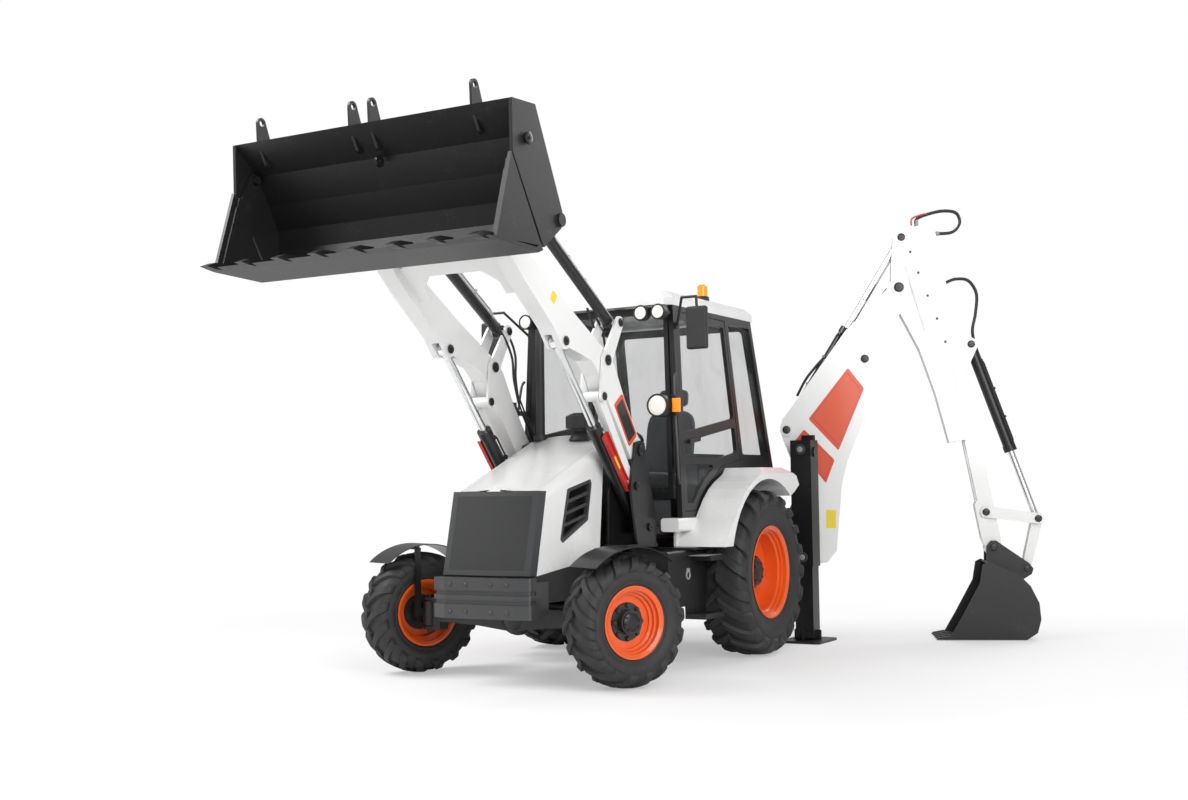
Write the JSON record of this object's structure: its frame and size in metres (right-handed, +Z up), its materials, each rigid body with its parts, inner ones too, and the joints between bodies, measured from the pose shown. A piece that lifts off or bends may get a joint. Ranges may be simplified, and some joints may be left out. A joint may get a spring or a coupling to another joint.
{
  "type": "backhoe loader",
  "caption": "Backhoe loader with a raised clam loader bucket, side-shift digger with a telescopic dipper, and drop-leg stabilisers.",
  "frame": {"origin": "on the floor below the middle of the rear axle", "axes": "+X forward, +Y to the machine's left, +Z up"},
  "size_m": [6.9082, 4.2055, 4.06],
  "materials": {
    "amber": "gloss",
    "black_paint": "satin",
    "black_plastic": "matte",
    "cast": "painted",
    "grey_paint": "satin",
    "grey_plastic": "matte",
    "lamp_glass": "clear",
    "orange_paint": "satin",
    "rod_chrome": "polished",
    "seat_fabric": "woven",
    "tyre": "matte",
    "white_paint": "satin",
    "white_panel": "gloss",
    "window": "clear"
  },
  "bodies": {
    "machine": {"main_frame": "black_paint", "hood": "white_panel", "front_grille": "grey_plastic", "front_weight": "cast", "engine_block": "cast", "stack_and_cleaner": "black_paint", "side_tanks": "grey_plastic", "front_axle": "black_paint", "rear_axle": "black_paint", "rear_fenders": "white_panel", "cab_floor": "black_plastic", "cab_frame": "black_paint", "cab_roof": "white_panel", "cab_windows": "window", "seat": "seat_fabric", "lamps": "lamp_glass", "beacon": "amber", "mirrors": "black_plastic", "rear_frame": "black_paint"},
    "left_door": {"door_left": "black_paint", "door_left_glass": "window"},
    "right_door": {"door_right": "black_paint", "door_right_glass": "window"},
    "left_knuckle": {"knuckle_left": "black_paint"},
    "right_knuckle": {"knuckle_right": "black_paint"},
    "steering_rod": {"tie_rod": "black_paint"},
    "front_left_wheel": {"rim_front_left": "orange_paint", "tyre_front_left": "tyre"},
    "front_right_wheel": {"rim_front_right": "orange_paint", "tyre_front_right": "tyre"},
    "rear_left_wheel": {"rim_rear_left": "orange_paint", "tyre_rear_left": "tyre"},
    "rear_right_wheel": {"rim_rear_right": "orange_paint", "tyre_rear_right": "tyre"},
    "arms": {"loader_arms": "white_paint"},
    "levers": {"tilt_levers": "white_paint", "tilt_barrels": "black_paint"},
    "links": {"levelling_links": "white_paint"},
    "lift_cylinder": {"lift_barrels": "black_paint"},
    "lift_piston": {"lift_rods": "rod_chrome"},
    "tilt_piston": {"tilt_rods": "rod_chrome"},
    "arm_tip": {"carrier_pins": "grey_paint"},
    "shovel": {"loader_bucket": "black_paint"},
    "clam": {"bucket_clam": "black_paint"},
    "side_shift": {"carriage": "black_paint"},
    "swing_post": {"kingpost": "white_paint"},
    "boom": {"boom": "white_paint"},
    "boom_cylinder": {"boom_barrel": "black_paint"},
    "boom_piston": {"boom_rod": "rod_chrome"},
    "dipper": {"dipper_outer": "white_paint"},
    "dipper_cylinder": {"dipper_barrel": "black_paint"},
    "dipper_piston": {"dipper_rod": "rod_chrome"},
    "extension": {"dipper_inner": "white_paint"},
    "bucket_cylinder": {"bucket_barrel": "black_paint"},
    "bucket_piston": {"bucket_rod": "rod_chrome"},
    "tip_levers": {"tipping_levers": "white_paint"},
    "bucket_links": {"bucket_link": "white_paint"},
    "digger_bucket": {"digging_bucket": "black_paint"},
    "left_stabiliser": {"stabiliser_left": "black_paint"},
    "right_stabiliser": {"stabiliser_right": "black_paint"}
  },
  "joints": [
    {"name": "rear_left_wheel_spin", "type": "hinge", "parent": "machine", "child": "rear_left_wheel", "pos_m": [0, 0.959, 0.704], "axis": [0, 1, 0], "continuous": true},
    {"name": "rear_right_wheel_spin", "type": "hinge", "parent": "machine", "child": "rear_right_wheel", "pos_m": [0, -0.959, 0.704], "axis": [0, 1, 0], "continuous": true},
    {"name": "steering", "type": "hinge", "parent": "machine", "child": "left_knuckle", "pos_m": [2.2, 0.812, 0.475], "axis": [0, 0, 1], "range_deg": [-10.5, 59.5]},
    {"name": "right_steering", "type": "hinge", "parent": "machine", "child": "right_knuckle", "pos_m": [2.2, -0.812, 0.475], "axis": [0, 0, 1], "range_deg": [-10.5, 59.5]},
    {"name": "tie_rod_pivot", "type": "hinge", "parent": "left_knuckle", "child": "steering_rod", "pos_m": [2.00436, 0.90116, 0.45], "axis": [0, 0, 1], "range_deg": [-59.6, 10.6]},
    {"name": "front_left_wheel_spin", "type": "hinge", "parent": "left_knuckle", "child": "front_left_wheel", "pos_m": [2.27008, 0.96578, 0.475], "axis": [0.4147, 0.91, 0], "continuous": true},
    {"name": "front_right_wheel_spin", "type": "hinge", "parent": "right_knuckle", "child": "front_right_wheel", "pos_m": [2.12992, -0.96578, 0.475], "axis": [0.4147, 0.91, 0], "continuous": true},
    {"name": "left_door_hinge", "type": "hinge", "parent": "machine", "child": "left_door", "pos_m": [0.893, 0.792, 1.9], "axis": [0, 0, -1], "range_deg": [0, 75]},
    {"name": "right_door_hinge", "type": "hinge", "parent": "machine", "child": "right_door", "pos_m": [0.893, -0.792, 1.9], "axis": [0, 0, 1], "range_deg": [0, 75]},
    {"name": "lift", "type": "hinge", "parent": "machine", "child": "arms", "pos_m": [1.338, 0, 1.728], "axis": [0, -1, 0], "range_deg": [-67.2, 0]},
    {"name": "link_pivot", "type": "hinge", "parent": "machine", "child": "links", "pos_m": [1.402, 0, 1.448], "axis": [0, -1, 0], "range_deg": [-67.2, 0]},
    {"name": "lever_pivot", "type": "hinge", "parent": "arms", "child": "levers", "pos_m": [1.84, 0, 2.412], "axis": [0, -1, 0], "range_deg": [0, 67.3]},
    {"name": "tip_level", "type": "hinge", "parent": "arms", "child": "arm_tip", "pos_m": [3.4, 0, 3.374], "axis": [0, -1, 0], "range_deg": [0, 67.3]},
    {"name": "tilt", "type": "hinge", "parent": "arm_tip", "child": "shovel", "pos_m": [3.4, 0, 3.374], "axis": [0, 1, 0], "range_deg": [-40, 35]},
    {"name": "tilt_rod", "type": "slide", "parent": "levers", "child": "tilt_piston", "axis": [0.8512, 0, 0.5249], "range_m": [-0.242, 0.212]},
    {"name": "clam_pivot", "type": "hinge", "parent": "shovel", "child": "clam", "pos_m": [3.829, 0, 3.651], "axis": [0, -1, 0], "range_deg": [0, 60]},
    {"name": "lift_cylinder_pivot", "type": "hinge", "parent": "machine", "child": "lift_cylinder", "pos_m": [1.2, 0, 1.12], "axis": [0, -1, 0], "range_deg": [-51.4, 0]},
    {"name": "lift_rod", "type": "slide", "parent": "lift_cylinder", "child": "lift_piston", "axis": [0.6571, 0, 0.7538], "range_m": [-0.535, 0]},
    {"name": "side_shift", "type": "slide", "parent": "machine", "child": "side_shift", "axis": [0, 1, 0], "range_m": [-1.04, 0]},
    {"name": "swing", "type": "hinge", "parent": "side_shift", "child": "swing_post", "pos_m": [-1.36, 0.52, 0], "axis": [0, 0, 1], "range_deg": [-15, 143]},
    {"name": "boom", "type": "hinge", "parent": "swing_post", "child": "boom", "pos_m": [-1.49111, 0.84451, 0.78], "axis": [0.9272, 0.3746, 0], "range_deg": [-75, 8]},
    {"name": "boom_cylinder_pivot", "type": "hinge", "parent": "swing_post", "child": "boom_cylinder", "pos_m": [-1.44241, 0.72398, 1.08], "axis": [0.9272, 0.3746, 0], "range_deg": [-76.9, 8.3]},
    {"name": "boom_rod", "type": "slide", "parent": "boom_cylinder", "child": "boom_piston", "axis": [-0.1611, 0.3987, 0.9028], "range_m": [-0.044, 0.393]},
    {"name": "dipper", "type": "hinge", "parent": "boom", "child": "dipper", "pos_m": [-1.84099, 1.7105, 3.283], "axis": [0.9272, 0.3746, 0], "range_deg": [0, 100]},
    {"name": "dipper_cylinder_pivot", "type": "hinge", "parent": "boom", "child": "dipper_cylinder", "pos_m": [-1.43754, 0.71193, 1.96], "axis": [0.9272, 0.3746, 0], "range_deg": [0, 10.2]},
    {"name": "dipper_rod", "type": "slide", "parent": "dipper_cylinder", "child": "dipper_piston", "axis": [-0.1966, 0.4867, 0.8511], "range_m": [-0.672, 0]},
    {"name": "extend", "type": "slide", "parent": "dipper", "child": "extension", "axis": [-0.0659, 0.1632, -0.9844], "range_m": [0, 1]},
    {"name": "bucket", "type": "hinge", "parent": "extension", "child": "digger_bucket", "pos_m": [-2.14105, 2.45318, 0.838], "axis": [0.9272, 0.3746, 0], "range_deg": [-35, 95]},
    {"name": "tip_lever_pivot", "type": "hinge", "parent": "extension", "child": "tip_levers", "pos_m": [-2.11895, 2.39847, 1.165], "axis": [0.9272, 0.3746, 0], "range_deg": [-27.8, 75.2]},
    {"name": "bucket_link_pivot", "type": "hinge", "parent": "tip_levers", "child": "bucket_links", "pos_m": [-2.29389, 2.83147, 1.1], "axis": [0.9272, 0.3746, 0], "range_deg": [-47.2, 17.5]},
    {"name": "bucket_cylinder_pivot", "type": "hinge", "parent": "extension", "child": "bucket_cylinder", "pos_m": [-2.08599, 2.31688, 2.734], "axis": [0.9272, 0.3746, 0], "range_deg": [-0.6, 1.5]},
    {"name": "bucket_rod", "type": "slide", "parent": "bucket_cylinder", "child": "bucket_piston", "axis": [-0.1205, 0.2982, -0.9469], "range_m": [-0.558, 0.207]},
    {"name": "left_stabiliser", "type": "slide", "parent": "machine", "child": "left_stabiliser", "axis": [0, 0, 1], "range_m": [0, 0.45]},
    {"name": "right_stabiliser", "type": "slide", "parent": "machine", "child": "right_stabiliser", "axis": [0, 0, 1], "range_m": [0, 0.45]}
  ],
  "couplings": [
    {"joint": "right_steering", "follows": "steering", "ratio": 1},
    {"joint": "tie_rod_pivot", "follows": "steering", "ratio": -1},
    {"joint": "link_pivot", "follows": "lift", "ratio": 1},
    {"joint": "lever_pivot", "follows": "lift", "ratio": -1},
    {"joint": "tip_level", "follows": "lift", "ratio": -1},
    {"joint": "tilt_rod", "follows": "tilt", "m_per_rad": 0.3436},
    {"joint": "lift_cylinder_pivot", "follows": "lift", "ratio": 0.762},
    {"joint": "lift_rod", "follows": "lift", "m_per_rad": 0.4544},
    {"joint": "boom_cylinder_pivot", "follows": "boom", "ratio": 1.0235},
    {"joint": "boom_rod", "follows": "boom", "m_per_rad": -0.2982},
    {"joint": "dipper_cylinder_pivot", "follows": "dipper", "ratio": 0.1001},
    {"joint": "dipper_rod", "follows": "dipper", "m_per_rad": -0.3835},
    {"joint": "tip_lever_pivot", "follows": "bucket", "ratio": 0.79},
    {"joint": "bucket_link_pivot", "follows": "bucket", "ratio": -0.495},
    {"joint": "bucket_cylinder_pivot", "follows": "bucket", "ratio": 0.0141},
    {"joint": "bucket_rod", "follows": "bucket", "m_per_rad": -0.3352}
  ]
}
